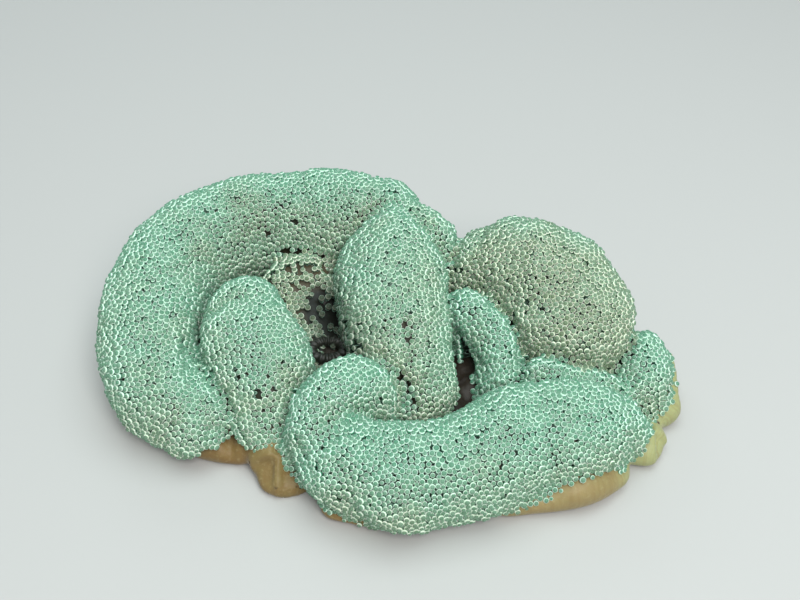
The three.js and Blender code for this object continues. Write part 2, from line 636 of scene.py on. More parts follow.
def join_closed(sweeps: list[Sweep], cell: float) -> Surface:
    """Joins closed shapes into one surface by a voxel remesh.

    Args:
        sweeps: the shapes.
        cell: the size of a voxel, in mm.

    Returns:
        The outer surface of them all together.
    """
    points: list[Array] = []
    faces: list[tuple[int, ...]] = []
    start = 0
    for shape in sweeps:
        vertices = shape.vertices()
        points.append(vertices)
        faces.extend(tuple(start + corner for corner in face) for face in shape.faces())
        start += len(vertices)
    rough = new_object("rough_body", np.vstack(points), faces)
    remesh = rough.modifiers.new("join", "REMESH")
    remesh.mode = "VOXEL"
    remesh.voxel_size = cell * MM
    graph = bpy.context.evaluated_depsgraph_get()
    mesh = bpy.data.meshes.new_from_object(rough.evaluated_get(graph))
    found = np.empty(len(mesh.vertices) * 3, np.float32)
    mesh.vertices.foreach_get("co", found)
    corners = np.empty(len(mesh.loops), np.int32)
    mesh.loops.foreach_get("vertex_index", corners)
    bpy.data.objects.remove(rough)
    bpy.data.meshes.remove(mesh)
    return Surface(found.reshape(-1, 3).astype(float) / MM, corners.reshape(-1, 4))


# ------------------------------------------------------------------ where things are


@dataclass
class Chart:
    """Tells which fold a point belongs to, and where on it.

    Attributes:
        inset: how far inside the folds' full size the compared surface lies, in mm.
        favour: how much nearer the underside must be than the top side to count, in mm.
    """

    inset: float
    favour: float = 0.0
    places: Array = field(init=False)
    fold: Array = field(init=False)
    upper: KDTree = field(init=False)
    lower: KDTree = field(init=False)

    def __post_init__(self) -> None:
        """Samples every fold's surface and puts the samples in a search tree."""
        points: list[Array] = []
        places: list[Array] = []
        owner: list[Array] = []
        for number, fold in enumerate(FOLDS):
            depth = self.inset if fold.cover is Cover.TENTACLES else 0.0
            grid = sweep(fold, depth, 2.5)
            rows, columns = grid.points.shape[:2]
            points.append(grid.points.reshape(-1, 3))
            station = np.repeat(grid.place, columns)
            along = np.repeat(grid.along, columns)
            turn = np.tile(grid.turn, rows)
            places.append(np.stack([station, along, turn], -1))
            owner.append(np.full(rows * columns, number))
        self.places = np.vstack(places)
        self.fold = np.concatenate(owner)
        samples = np.vstack(points)
        cover = np.array([fold.cover.value for fold in FOLDS])[self.fold]
        above = cover < Cover.UNDERSIDE.value
        self.upper = self.search_tree(samples, np.flatnonzero(above))
        self.lower = self.search_tree(samples, np.flatnonzero(~above))

    @staticmethod
    def search_tree(samples: Array, numbers: Array) -> KDTree:
        """Puts the samples of those numbers in a search tree."""
        tree = KDTree(len(numbers))
        for number in numbers.tolist():
            tree.insert(samples[number], number)
        tree.balance()
        return tree

    def look_up(self, points: Array) -> tuple[Array, Array]:
        """Finds each point's fold.

        Args:
            points: one row of xyz for each point, in mm.

        Returns:
            The fold's number, and rows of its station number, its distance along and its turn.
        """
        above = np.array([self.upper.find(point)[1:] for point in points.tolist()])
        below = np.array([self.lower.find(point)[1:] for point in points.tolist()])
        is_below = below[:, 1] < above[:, 1] - self.favour
        nearest = np.where(is_below, below[:, 0], above[:, 0]).astype(int)
        return self.fold[nearest], self.places[nearest]


def close_pairs(points: Array, reach: float) -> tuple[Array, Array]:
    """Lists every two points closer together than the reach, each pair once.

    Space is cut into cubes of that size; the points are sorted by cube, and each is compared
    with those in its own cube and the cubes next to it.

    Args:
        points: one row of xyz for each point.
        reach: the largest distance of a pair.

    Returns:
        The first and the second point's number of each pair.
    """
    cube = np.floor((points - points.min(axis=0)) / reach).astype(np.int64) + 1
    size = cube.max(axis=0) + 2
    key = (cube[:, 0] * size[1] + cube[:, 1]) * size[2] + cube[:, 2]
    order = np.argsort(key, kind="stable")
    sorted_key = key[order]
    firsts: list[Array] = []
    seconds: list[Array] = []
    steps = np.stack(np.meshgrid([-1, 0, 1], [-1, 0, 1], [-1, 0, 1]), -1).reshape(-1, 3)
    for step in steps:
        wanted = key + (step[0] * size[1] + step[1]) * size[2] + step[2]
        low = np.searchsorted(sorted_key, wanted, "left")
        many = np.searchsorted(sorted_key, wanted, "right") - low
        first = np.repeat(np.arange(len(points)), many)
        offset = np.arange(many.sum()) - np.repeat(np.cumsum(many) - many, many)
        second = order[np.repeat(low, many) + offset]
        once = first < second
        first, second = first[once], second[once]
        near = np.linalg.norm(points[first] - points[second], axis=1) < reach
        firsts.append(first[near])
        seconds.append(second[near])
    return np.concatenate(firsts), np.concatenate(seconds)


def thin_out(points: Array, apart: Array, rng: np.random.Generator) -> Array:
    """Picks points so that no two are closer together than they should be.

    Every point gets a random rank. In each round the points that outrank all their undecided
    neighbours are kept, and their neighbours are dropped.

    Args:
        points: one row of xyz for each point.
        apart: the distance that each point keeps.
        rng: the source of the ranks.

    Returns:
        The numbers of the points that are kept.
    """
    first, second = close_pairs(points, float(apart.max()))
    gap = np.linalg.norm(points[first] - points[second], axis=1)
    clash = gap < 0.5 * (apart[first] + apart[second])
    first, second = first[clash], second[clash]
    rank = rng.permutation(len(points))
    open_ = np.ones(len(points), bool)
    kept = np.zeros(len(points), bool)
    while open_.any():
        live = open_[first] & open_[second]
        first, second = first[live], second[live]
        beaten = np.zeros(len(points), bool)
        wins = rank[first] < rank[second]
        beaten[np.where(wins, second, first)] = True
        chosen = open_ & ~beaten
        kept |= chosen
        dropped = np.zeros(len(points), bool)
        dropped[second[chosen[first]]] = True
        dropped[first[chosen[second]]] = True
        open_ &= ~chosen & ~dropped
    return np.flatnonzero(kept)


# ------------------------------------------------------------------ materials


class Value:
    """A number that a shader works out: a socket with the arithmetic operators."""

    def __init__(self, graph: "Graph", socket: bpy.types.NodeSocket) -> None:
        """Wraps a socket of the graph."""
        self.graph = graph
        self.socket = socket

    def _math(self, operation: str, *others: Any) -> "Value":
        """Adds a Math node of this and the others."""
        return self.graph.add("ShaderNodeMath", {"operation": operation}, *others)

    def __add__(self, other: Any) -> "Value":
        """This plus the other."""
        return self._math("ADD", self, other)

    __radd__ = __add__

    def __mul__(self, other: Any) -> "Value":
        """This times the other."""
        return self._math("MULTIPLY", self, other)

    __rmul__ = __mul__

    def __sub__(self, other: Any) -> "Value":
        """This less the other."""
        return self._math("SUBTRACT", self, other)

    def __rsub__(self, other: Any) -> "Value":
        """The other less this."""
        return self._math("SUBTRACT", other, self)

    def step(self, low: float, high: float) -> "Value":
        """Rises smoothly from 0 at the low value to 1 at the high one."""
        settings = {"interpolation_type": "SMOOTHSTEP"}
        return self.graph.add("ShaderNodeMapRange", settings, self, low, high)

    def band(self, low: float, high: float, blur: float) -> "Value":
        """Is 1 from the low to the high value and 0 outside, with soft edges."""
        return self.step(low - blur, low + blur) * (1 - self.step(high - blur, high + blur))


class Graph:
    """The node tree of one material, round a Principled shader."""

    def __init__(self, name: str) -> None:
        """Makes a material of that name."""
        self.material = bpy.data.materials.new(name)
        self.material.use_nodes = True
        self.tree = self.material.node_tree
        self.shader = self.tree.nodes["Principled BSDF"]

    def add(self, kind: str, settings: dict[str, Any] | None = None, *inputs: Any) -> Value:
        """Adds a node.

        Args:
            kind: the node's type.
            settings: its properties, set before its sockets.
            inputs: a value or a link for each of its first sockets, None to leave one alone.

        Returns:
            The node's first output that is in use.
        """
        node = self.tree.nodes.new(kind)
        for name, setting in (settings or {}).items():
            setattr(node, name, setting)
        sockets = [socket for socket in node.inputs if socket.enabled]
        for socket, given in zip(sockets, inputs):
            self.feed(socket, given)
        outputs = [socket for socket in node.outputs if socket.enabled]
        return Value(self, outputs[0])

    def feed(self, socket: bpy.types.NodeSocket, given: Any) -> None:
        """Links or sets one socket; None leaves it as it is."""
        if isinstance(given, Value):
            self.tree.links.new(given.socket, socket)
        elif given is not None:
            socket.default_value = given

    def attribute(self, name: str) -> Value:
        """Reads a number stored on the mesh."""
        value = self.add("ShaderNodeAttribute", {"attribute_name": name})
        return Value(self, value.socket.node.outputs["Fac"])

    def place(self) -> Value:
        """Gives the point's place in the object, in metres."""
        node = self.add("ShaderNodeTexCoord").socket.node
        return Value(self, node.outputs["Object"])

    def noise(self, place: Value, scale: float, detail: float = 2.0) -> Value:
        """Gives a cloudy pattern from 0 to 1, so many spots to the metre."""
        return self.add("ShaderNodeTexNoise", {}, place, scale, detail)

    def mix(self, share: Value, low: Any, high: Any) -> Value:
        """Mixes two colours by a share from 0 to 1."""
        settings = {"data_type": "RGBA"}
        return self.add("ShaderNodeMix", settings, share, low, high)

    def bump(self, height: Value, depth: float) -> Value:
        """Turns a height from 0 to 1 into a normal, for a relief so deep in metres."""
        node = self.tree.nodes.new("ShaderNodeBump")
        node.inputs["Distance"].default_value = depth
        self.feed(node.inputs["Height"], height)
        return Value(self, node.outputs["Normal"])

    def finish(self, **sockets: Any) -> bpy.types.Material:
        """Feeds the shader's sockets, named with _ for a space, and returns the material."""
        for name, given in sockets.items():
            self.feed(self.shader.inputs[name.replace("_", " ")], given)
        return self.material


Colour = tuple[float, float, float, float]


def rgb(red: int, green: int, blue: int) -> Colour:
    """Turns a screen colour of 0 to 255 into the linear colour that a shader takes."""
    shares = np.array([red, green, blue]) / 255
    linear = np.where(shares <= 0.04045, shares / 12.92, ((shares + 0.055) / 1.055) ** 2.4)
    return (*linear.tolist(), 1.0)


@dataclass(frozen=True)
class TentacleFinish:
    """Soft green flesh: a grey-green crown, a pale ring round it as painted rim light, and a mint
    stalk.

    Attributes:
        crown, crown_olive: the bead's top, on mint and on olive folds.
        ring, ring_olive: the pale ring round it, painted light for the glow at a translucent bead's
            rim.
        side, side_olive: the bead's flank.
        root: the stalk's foot, painted nearly black as the shade between the tentacles.
        hollow_shade_tone: the painted shade that the beads take down in the hollow.
    """

    crown: Colour = rgb(84, 137, 112)
    crown_olive: Colour = rgb(102, 120, 93)
    ring: Colour = rgb(218, 247, 230)
    ring_olive: Colour = rgb(230, 238, 216)
    side: Colour = rgb(72, 144, 116)
    side_olive: Colour = rgb(88, 120, 89)
    root: Colour = rgb(24, 34, 24)
    hollow_shade_tone: Colour = rgb(30, 36, 27)

    def make(self) -> bpy.types.Material:
        """Paints by the distance from the bead's tip, with a tint for each tentacle, painted rim
        light on the ring, and painted shade at the foot and down in the hollow.
        """
        g = Graph("tentacle_flesh")
        place = g.place()
        reach = g.attribute("reach")
        olive = (g.attribute("olive") + (g.noise(place, 45.0) - 0.5) * 0.9).step(0.0, 1.0)
        tint = g.attribute("tint")
        crown = g.mix(olive, self.crown, self.crown_olive)
        crown = g.mix(tint * 0.4, crown, rgb(136, 166, 146))
        ring = g.mix(olive, self.ring, self.ring_olive)
        side = g.mix(olive, self.side, self.side_olive)
        blotch = g.noise(place, 900.0, 3.0)
        edge = reach + (blotch - 0.5) * 0.05
        # Painted light: the pale ring stands in for the glow at the rim of a translucent bead.
        colour = g.mix(edge.step(0.25, 0.31), crown, ring)
        colour = g.mix(edge.step(0.40, 0.47), colour, side)
        # Painted shade: the flank darkens to a nearly black foot, where the tentacles shade each
        # other.
        colour = g.mix(edge.step(0.49, 0.73), colour, self.root)
        colour = g.mix((blotch - 0.35) * 0.3, colour, rgb(90, 112, 84))
        # Painted shade: the beads darken towards the hollow shade tone down in the hollow.
        colour = g.mix(g.attribute("painted_hollow_shade") * 0.85, colour, self.hollow_shade_tone)
        normal = g.bump(g.noise(place, 2500.0, 2.0), 0.0001)
        return g.finish(
            Base_Color=colour,
            Roughness=0.42 + blotch * 0.2,
            Normal=normal,
            IOR=1.36,
            Sheen_Weight=0.75,
            Sheen_Roughness=0.25,
            Sheen_Tint=rgb(190, 240, 216),
            Subsurface_Weight=0.25,
            Subsurface_Radius=(0.6, 1.0, 0.7),
            Subsurface_Scale=0.0015,
        )


@dataclass(frozen=True)
class FleshFinish:
    """The skin: a dark bed under the tentacles, brown in the hollow with painted shade deep in it, a
    column painted dark as shade, tan on the underside.

    Attributes:
        bed: between the tentacles.
        bare: the upper slope of the hollow.
        deep: painted shade at the bottom of the hollow.
        painted_column_shade: the column, between the folds, painted dark as shade.
        tan, shaded_tan_left, tan_right: the underside in front, on the left with painted shade, and
            on the right.
        tan_pale, tan_green: its cloudy patches.
        streak: its fine ribs.
        wart: its few small warts.
    """

    bed: Colour = rgb(44, 50, 36)
    bare: Colour = rgb(70, 64, 47)
    deep: Colour = rgb(18, 21, 15)
    painted_column_shade: Colour = rgb(40, 32, 24)
    tan: Colour = rgb(146, 128, 86)
    shaded_tan_left: Colour = rgb(120, 94, 54)
    tan_right: Colour = rgb(156, 160, 112)
    tan_pale: Colour = rgb(176, 164, 122)
    tan_green: Colour = rgb(134, 130, 84)
    streak: Colour = rgb(124, 98, 60)
    wart: Colour = rgb(70, 52, 30)

    def make(self) -> bpy.types.Material:
        """Mixes the three kinds of skin by what is stored on the mesh, with painted shade in the
        hollow and on the column.
        """
        g = Graph("body_flesh")
        place = g.place()
        under = g.attribute("underside")
        painted_shade = g.attribute("painted_hollow_shade")
        painted_column_shade = g.attribute("painted_column_shade")
        bare = g.attribute("bare")
        along = g.attribute("along")
        clouds = g.noise(place, 70.0, 3.0)
        fine = g.noise(place, 600.0, 4.0)
        rib_place = g.add("ShaderNodeCombineXYZ", {}, along, 0.0, 0.0)
        ribs = g.noise(rib_place, 0.55, 3.0)
        across = g.add("ShaderNodeSeparateXYZ", {}, place)
        # The underside on the left is browner, and painted darker as shade.
        tan = g.mix(across.step(-0.03, 0.02), self.shaded_tan_left, self.tan)
        tan = g.mix(clouds.step(0.3, 0.7) * 0.4, tan, self.tan_green)
        tan = g.mix(across.step(0.094, 0.108), tan, self.tan_right)
        tan = g.mix(ribs.step(0.42, 0.62) * 0.25, tan, self.streak)
        tan = g.mix(fine.step(0.5, 0.8) * 0.3, tan, self.tan_pale)
        cells = g.add("ShaderNodeTexVoronoi", {}, place, 135.0)
        rare = g.noise(place, 38.0, 1.0).step(0.48, 0.52)
        ends = 1 - across.step(-0.03, 0.02) + across.step(0.094, 0.108)
        warts = (1 - cells.step(0.09, 0.14)) * rare * ends
        tan = g.mix(warts, tan, self.wart)
        bed = g.mix(clouds.step(0.35, 0.65), self.bed, rgb(62, 58, 42))
        floor = g.mix(fine.step(0.4, 0.7) * 0.5, self.bare, rgb(84, 78, 56))
        # Painted shade: the skin darkens to nearly black down in the hollow.
        colour = g.mix(painted_shade.step(0.1, 0.5), g.mix(bare, bed, floor), self.deep)
        # Painted shade: the column between the folds is painted dark brown, as it lies in shade.
        colour = g.mix(painted_column_shade, colour, self.painted_column_shade)
        colour = g.mix(under, colour, tan)
        relief = ribs * 0.25 + fine * 0.3 + warts * 0.6
        return g.finish(
            Base_Color=colour,
            Roughness=0.38 + fine * 0.25,
            Normal=g.bump(relief, 0.0007),
            IOR=1.37,
            Sheen_Weight=0.15,
            Sheen_Roughness=0.4,
            Subsurface_Weight=0.2,
            Subsurface_Radius=(1.0, 0.7, 0.4),
            Subsurface_Scale=0.003,
        )


@dataclass(frozen=True)
class FloorFinish:
    """A plain pale studio floor."""

    colour: Colour = (0.47, 0.47, 0.46, 1.0)

    def make(self) -> bpy.types.Material:
        """Makes a matt surface with hardly any pattern."""
        g = Graph("studio_floor")
        speckle = g.noise(g.place(), 400.0, 2.0)
        colour = g.mix(speckle * 0.1, self.colour, (0.43, 0.43, 0.42, 1.0))
        return g.finish(Base_Color=colour, Roughness=0.75)


# ------------------------------------------------------------------ the skin


@dataclass
class Skin:
    """The one skin of flesh under the whole coat.

    Attributes:
        coat_depth: how far inside the solids the skin lies where tentacles stand on it, in mm.
        thin_coat: how far inside them it lies in the hollow, in mm.
        cell: the size of its faces, in mm.
        valley_depth: how much deeper the line is pressed where two folds meet, in mm.
        valley_width: how wide it is pressed to each side, in mm.
    """

    coat_depth: float = 5.2
    thin_coat: float = 3.4
    cell: float = 1.5
    valley_depth: float = 4.0
    valley_width: float = 3.5
    large_ripples: Ripples = Ripples(34.0, 3)
    small_ripples: Ripples = Ripples(13.0, 4)
    surface: Surface = field(init=False)
    tree: BVHTree = field(init=False)

    def shape(self, inset: float, cell: float) -> Surface:
        """Joins the folds at one depth, smooths them and gives them their relief.

        Args:
            inset: how far inside the full size the tentacled folds lie, in mm.
            cell: the size of the faces, in mm.

        Returns:
            The joined surface, trimmed flat at the floor.
        """
        depth = {
            Cover.TENTACLES: inset,
            Cover.BARE: min(inset, self.thin_coat),
            Cover.UNDERSIDE: 0.3,
            Cover.INNER: 1.0,
        }
        joined = join_closed([sweep(fold, depth[fold.cover], 3.0) for fold in FOLDS], cell)
        joined.smooth(4)
        points = joined.points
        push = 1.1 * self.large_ripples.height(points) + 0.35 * self.small_ripples.height(points)
        push -= np.sum([crease.press(points) for crease in CREASES], axis=0)
        push -= self.valleys(points, inset)
        push *= np.clip(points[:, 2] / 12, 0.15, 1)
        joined.points = points + joined.normals() * push[:, None]
        joined.smooth(2)
        joined.points[:, 2] = np.maximum(joined.points[:, 2], 0.0)
        return joined

    def valleys(self, points: Array, inset: float) -> Array:
        """Gives how deep each point is pressed by the valleys between tentacled folds.

        With the gap the distance to the second nearest fold less that to the nearest, it is
        depth * exp(-(gap / width)^2).

        Args:
            points: one row of xyz for each point, in mm.
            inset: how far inside the full size the tentacled folds lie, in mm.

        Returns:
            The depth at each point, in mm.
        """
        folds = [fold for fold in FOLDS if fold.cover is Cover.TENTACLES]
        gaps = np.full((len(folds), len(points)), 1e3)
        for row, fold in enumerate(folds):
            samples = sweep(fold, inset, 2.0).vertices()
            inside = (points > samples.min(axis=0) - 8) & (points < samples.max(axis=0) + 8)
            chosen = np.flatnonzero(inside.all(axis=1))
            tree = KDTree(len(samples))
            for number, sample in enumerate(samples.tolist()):
                tree.insert(sample, number)
            tree.balance()
            gaps[row, chosen] = [tree.find(point)[2] for point in points[chosen].tolist()]
        nearest = np.sort(gaps, axis=0)
        between = nearest[1] - nearest[0]
        return self.valley_depth * np.exp(-((between / self.valley_width) ** 2))

    def build(self) -> bpy.types.Object:
        """Makes the skin's object and stores what it bears at each point."""
        self.surface = self.shape(self.coat_depth, self.cell)
        self.tree = self.surface.tree()
        chart = Chart(self.coat_depth)
        fold, places = chart.look_up(self.surface.points)
        cover = np.array([fold.cover.value for fold in FOLDS])[fold]
        skin = new_object("flesh_skin", self.surface.points, self.surface.quads)
        low = self.surface.points[:, 2] < hem_height(self.surface.points) - 1.0
        is_under = (cover == Cover.UNDERSIDE.value) | (low & (cover == Cover.TENTACLES.value))
        set_attribute(skin.data, "underside", self.soften(is_under))
        # Painted shade: how far down in the hollow the skin is painted dark.
        set_attribute(skin.data, "painted_hollow_shade", painted_hollow_shade(self.surface.points))
        set_attribute(skin.data, "bare", self.soften(cover == Cover.BARE.value))
        # Painted shade: marks the column, which is painted dark as shade.
        set_attribute(skin.data, "painted_column_shade", self.soften(cover == Cover.INNER.value))
        set_attribute(skin.data, "along", self.soften(places[:, 1]))
        skin.data.materials.append(FleshFinish().make())
        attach(skin, "root")
        solids = [name for one in FOLDS for name, _ in one.parts]
        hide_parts(*solids)
        LOG.info("flesh_skin: %d points", len(self.surface.points))
        return skin

    def soften(self, values: Array) -> Array:
        """Evens out a value stored on the skin's points over their neighbours."""
        pairs = self.surface.edges()
        count = np.bincount(pairs.ravel(), minlength=len(self.surface.points))
        soft = values.astype(float)
        for _ in range(3):
            total = np.bincount(pairs[:, 0], soft[pairs[:, 1]], len(soft))
            total += np.bincount(pairs[:, 1], soft[pairs[:, 0]], len(soft))
            soft = 0.5 * soft + 0.5 * total / count
        return soft


# ------------------------------------------------------------------ the tentacles


@dataclass
class TentacleCoat:
    """The coat of tentacles, one piece for each length of fold.

    Attributes:
        skin: the skin it grows on.
        apart: the usual distance between beads, in mm.
        bead: the usual radius of a bead, in mm.
        segments: how many sides a tentacle has.
        rings: the angles from the bead's tip at which it has rings of points, in degrees.
        patch: how far out on its round patch of the map each ring and then the foot lie.
        candidates: how many places are tried for a bead.
        rounds: how many times the beads push each other apart.
        lean: which way all the tentacles lean.
        thin: the share of tentacles that is missing in the depth of the hollow.
        lowest: the least upward part of a normal on which tentacles grow.
        pale: the side on which the beads are painted less olive, as painted light from above and
            behind.
    """

    skin: Skin
    apart: float = 2.36
    bead: float = 1.3
    segments: int = 8
    rings: tuple[float, ...] = (35.0, 68.0, 104.0)
    patch: tuple[float, ...] = (0.42, 0.74, 0.92, 1.0)
    candidates: int = 130000
    rounds: int = 26
    lean: tuple[float, float, float] = (0.0, -0.3, 0.3)
    thin: float = 0.7
    lowest: float = -0.8
    pale: tuple[float, float, float] = (0.0, 0.35, 0.2)
    rng: np.random.Generator = field(default_factory=lambda: np.random.default_rng(SEED))
    chart: Chart = field(init=False)

    def build(self) -> list[bpy.types.Object]:
        """Places the tentacles and makes every piece of the coat."""
        outer = self.skin.shape(self.bead, 2.0)
        tree = outer.tree()
        self.chart = Chart(self.bead, 1.2)
        centres, apart = self.scatter(outer, np.empty((0, 3)))
        centres, _ = self.spread(centres, apart, tree, self.rounds)
        more, more_apart = self.scatter(outer, centres)
        centres = np.vstack([centres, more])
        apart = np.concatenate([apart, more_apart])
        centres, normals = self.spread(centres, apart, tree, 14)
        fold, places = self.chart.look_up(centres)
        keep = self.grows(fold, centres) & (normals[:, 2] > self.lowest)
        keep &= ~np.any([crease.is_bare(centres, normals) for crease in CREASES], axis=0)
        bare = np.array([one.cover is Cover.BARE for one in FOLDS])[fold]
        missing = self.thin * painted_hollow_shade(centres) ** 2 + 0.14 * sparseness(centres) + 0.14 * bare
        keep &= self.rng.uniform(size=len(keep)) > missing
        centres, normals = centres[keep], normals[keep]
        fold, places, apart = fold[keep], places[keep], apart[keep]
        radius = self.fit_beads(centres, apart)
        centres += normals * self.rng.normal(-0.15, 0.35, (len(centres), 1)).clip(-0.9, 0.5)
        centres[:, 2] = np.maximum(centres[:, 2], radius + 0.1)
        finish = TentacleFinish().make()
        pieces: list[bpy.types.Object] = []
        for number, one in enumerate(FOLDS):
            if one.cover in (Cover.UNDERSIDE, Cover.INNER):
                continue
            part = one.part_at(places[:, 0])
            for order, (node, _) in enumerate(one.parts):
                chosen = np.flatnonzero((fold == number) & (part == order))
                name = node.replace("fold_", "tentacles_").replace("oral_disc", "tentacles_hollow")
                # Painted light: beads that face up and back are painted more mint, as if lit by
                # bluish light from above.
                olive = one.olive - normals[chosen] @ np.array(self.pale)
                batch = Batch(
                    centres[chosen], normals[chosen], radius[chosen], places[chosen, 1:], olive
                )
                pieces.append(self.piece(name, batch, finish))
        LOG.info("tentacles: %d in %d pieces", len(centres), len(pieces))
        return pieces

    def scatter(self, outer: Surface, placed: Array) -> tuple[Array, Array]:
        """Scatters beads over the surface that their middles lie on.

        Args:
            outer: that surface.
            placed: beads that are there already; new ones fill the holes between them.

        Returns:
            The new beads' middles, and the distance that each keeps.
        """
        a, b, c, d = (outer.points[outer.quads[:, k]] for k in range(4))
        middle = (a + b + c + d) / 4
        fold, _ = self.chart.look_up(middle)
        area = np.linalg.norm(np.cross(c - a, d - b), axis=1) * self.grows(fold, middle)
        quad = self.rng.choice(len(area), self.candidates, p=area / area.sum())
        u, v = self.rng.uniform(size=(2, self.candidates, 1))
        low = a[quad] * (1 - u) + b[quad] * u
        high = d[quad] * (1 - u) + c[quad] * u
        points = low * (1 - v) + high * v
        apart = self.apart * np.array([one.spacing for one in FOLDS])[fold[quad]]
        apart *= 1 + 0.05 * Ripples(26.0, 8).height(points)
        apart *= self.rng.normal(1.0, 0.09, self.candidates).clip(0.82, 1.18)
        apart *= 1 + 0.1 * painted_hollow_shade(points)
        if len(placed):
            tree = KDTree(len(placed))
            for number, point in enumerate(placed.tolist()):
                tree.insert(point, number)
            tree.balance()
            gap = np.array([tree.find(point)[2] for point in points.tolist()])
            hole = gap > 0.76 * apart
            points, apart = points[hole], apart[hole]
        kept = thin_out(points, apart * 0.765, self.rng)
        return points[kept], apart[kept]

    def grows(self, fold: Array, points: Array) -> Array:
        """Tells where tentacles grow: on the folds, clear of the floor."""
        cover = np.array([one.cover.value for one in FOLDS])[fold]
        return (cover < Cover.UNDERSIDE.value) & (points[:, 2] > hem_height(points))

    def spread(
        self, centres: Array, apart: Array, tree: BVHTree, rounds: int
    ) -> tuple[Array, Array]:
        """Evens out the beads: each is pushed off its neighbours and drawn back to the surface.

        Args:
            centres: the beads' middles.
            apart: the distance that each keeps.
            tree: the surface that they lie on.
            rounds: how many times they are pushed.

        Returns:
            The new middles and the surface's normals there.
        """
        normals = np.zeros_like(centres)
        for turn in range(rounds):
            first, second = close_pairs(centres, float(apart.max()) * 1.1)
            line = centres[first] - centres[second]
            gap = np.maximum(np.linalg.norm(line, axis=1), 1e-6)
            wanted = 0.56 * (apart[first] + apart[second])
            push = np.maximum(wanted - gap, 0) * 0.32
            step = line * (push / gap)[:, None]
            for axis in range(3):
                moved = np.bincount(first, step[:, axis], len(centres))
                moved -= np.bincount(second, step[:, axis], len(centres))
                centres[:, axis] += moved
            if turn % 4 == 0 or turn == rounds - 1:
                hits = [tree.find_nearest(point) for point in centres.tolist()]
                centres = np.array([tuple(hit[0]) for hit in hits])
                normals = np.array([tuple(hit[1]) for hit in hits])
            else:
                off = np.sum(normals * (centres - surface_point), axis=1) if turn else 0.0
                centres = centres - normals * np.reshape(off, (-1, 1))
            surface_point = centres.copy()
            centres[:, 2] = np.maximum(centres[:, 2], self.bead + 0.2)
        return centres, normals

    def fit_beads(self, centres: Array, apart: Array) -> Array:
        """Sizes each bead to touch its nearer neighbours: half the mean gap to those next to it."""
        first, second = close_pairs(centres, float(apart.max()) * 1.25)
        gap = np.linalg.norm(centres[first] - centres[second], axis=1)
        near = gap < 0.65 * (apart[first] + apart[second])
        first, second, gap = first[near], second[near], gap[near]
        count = np.bincount(first, minlength=len(centres))
        count += np.bincount(second, minlength=len(centres))
        total = np.bincount(first, gap, len(centres)) + np.bincount(second, gap, len(centres))
        mean = np.where(count > 2, total / np.maximum(count, 1), apart)
        size = 0.53 * mean * self.rng.normal(1.0, 0.09, len(centres))
        return np.clip(size, 0.72 * self.bead, 1.25 * self.bead)

    def piece(
        self, name: str, batch: "Batch", finish: bpy.types.Material
    ) -> bpy.types.Object:
        """Makes the tentacles of one length of fold as a single mesh.

        Args:
            name: the piece's name.
            batch: the tentacles.
            finish: their material.

        Returns:
            The piece.
        """
        count, sides = len(batch.centres), self.segments
        roots, tips = self.stand(batch)
        turn = 2 * math.pi * np.arange(sides) / sides
        first = np.cross(tips, [0.31, 0.77, 0.55])
        first /= np.linalg.norm(first, axis=1, keepdims=True)
        second = np.cross(tips, first)
        spin = self.rng.uniform(0, 2 * math.pi, (count, 1)) + turn
        around = first[:, None] * np.cos(spin)[..., None] + second[:, None] * np.sin(spin)[..., None]
        radius = batch.radius[:, None]
        layers = [batch.centres + tips * radius]
        reach = [np.zeros(count)]
        for angle in np.radians(self.rings):
            middle = batch.centres + tips * radius * math.cos(angle)
            layers.append(middle[:, None] + around * (radius * math.sin(angle))[..., None])
            reach.append(np.full((count, sides), angle / math.pi))
        layers.append(roots[:, None] + around * (radius * 0.6)[..., None])
        reach.append(np.ones((count, sides)))
        each = 1 + sides * (len(self.rings) + 1)
        points = np.concatenate([layer.reshape(count, -1, 3) for layer in layers], axis=1)
        values = np.concatenate([layer.reshape(count, -1) for layer in reach], axis=1)
        points[..., 2] = np.maximum(points[..., 2], 0.05)
        faces = self.faces(count, each)
        made = new_object(name, points.reshape(-1, 3), faces)
        set_attribute(made.data, "reach", values.ravel())
        set_attribute(made.data, "tint", np.repeat(self.rng.uniform(size=count), each))
        set_attribute(made.data, "olive", np.repeat(batch.olive, each))
        # Painted shade: how far down in the hollow each tentacle is painted dark.
        set_attribute(made.data, "painted_hollow_shade", np.repeat(painted_hollow_shade(batch.centres), each))
        self.bake_map(made.data, batch, spin, each)
        made.data.materials.append(finish)
        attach(made, "root")
        LOG.info("%s: %d tentacles", name, count)
        return made

    def stand(self, batch: "Batch") -> tuple[Array, Array]:
        """Finds where each tentacle's foot is on the skin, and which way its tip points.

        Args:
            batch: the tentacles.

        Returns:
            The feet, and unit directions: the surface's normal with the common lean.
        """
        roots = np.empty_like(batch.centres)
        for number, (centre, normal) in enumerate(zip(batch.centres, batch.normals)):
            hit = self.skin.tree.ray_cast(Vector(centre), Vector(-normal), 9.0)[0]
            hit = hit or self.skin.tree.find_nearest(Vector(centre))[0]
            roots[number] = hit
        roots -= batch.normals * 0.4
        jitter = self.rng.normal(0, 0.08, batch.normals.shape)
        tips = batch.normals + jitter + np.array(self.lean)
        return roots, tips / np.linalg.norm(tips, axis=1, keepdims=True)

    def faces(self, count: int, each: int) -> list[tuple[int, ...]]:
        """Lists the faces of so many tentacles: a fan at the tip, bands, and the foot."""
        sides = self.segments
        side = np.arange(sides)
        beside = (side + 1) % sides
        fan = np.stack([np.zeros(sides, int), 1 + side, 1 + beside], -1)
        start = 1 + sides * np.arange(len(self.rings))[:, None]
        corners = (start + side, start + sides + side, start + sides + beside, start + beside)
        bands = np.stack(corners, -1).reshape(-1, 4)
        foot = (1 + sides * len(self.rings) + side[::-1])[None]
        offset = (each * np.arange(count))[:, None, None]
        return [
            tuple(face)
            for part in (fan, bands, foot)
            for face in (part[None] + offset).reshape(-1, part.shape[1]).tolist()
        ]

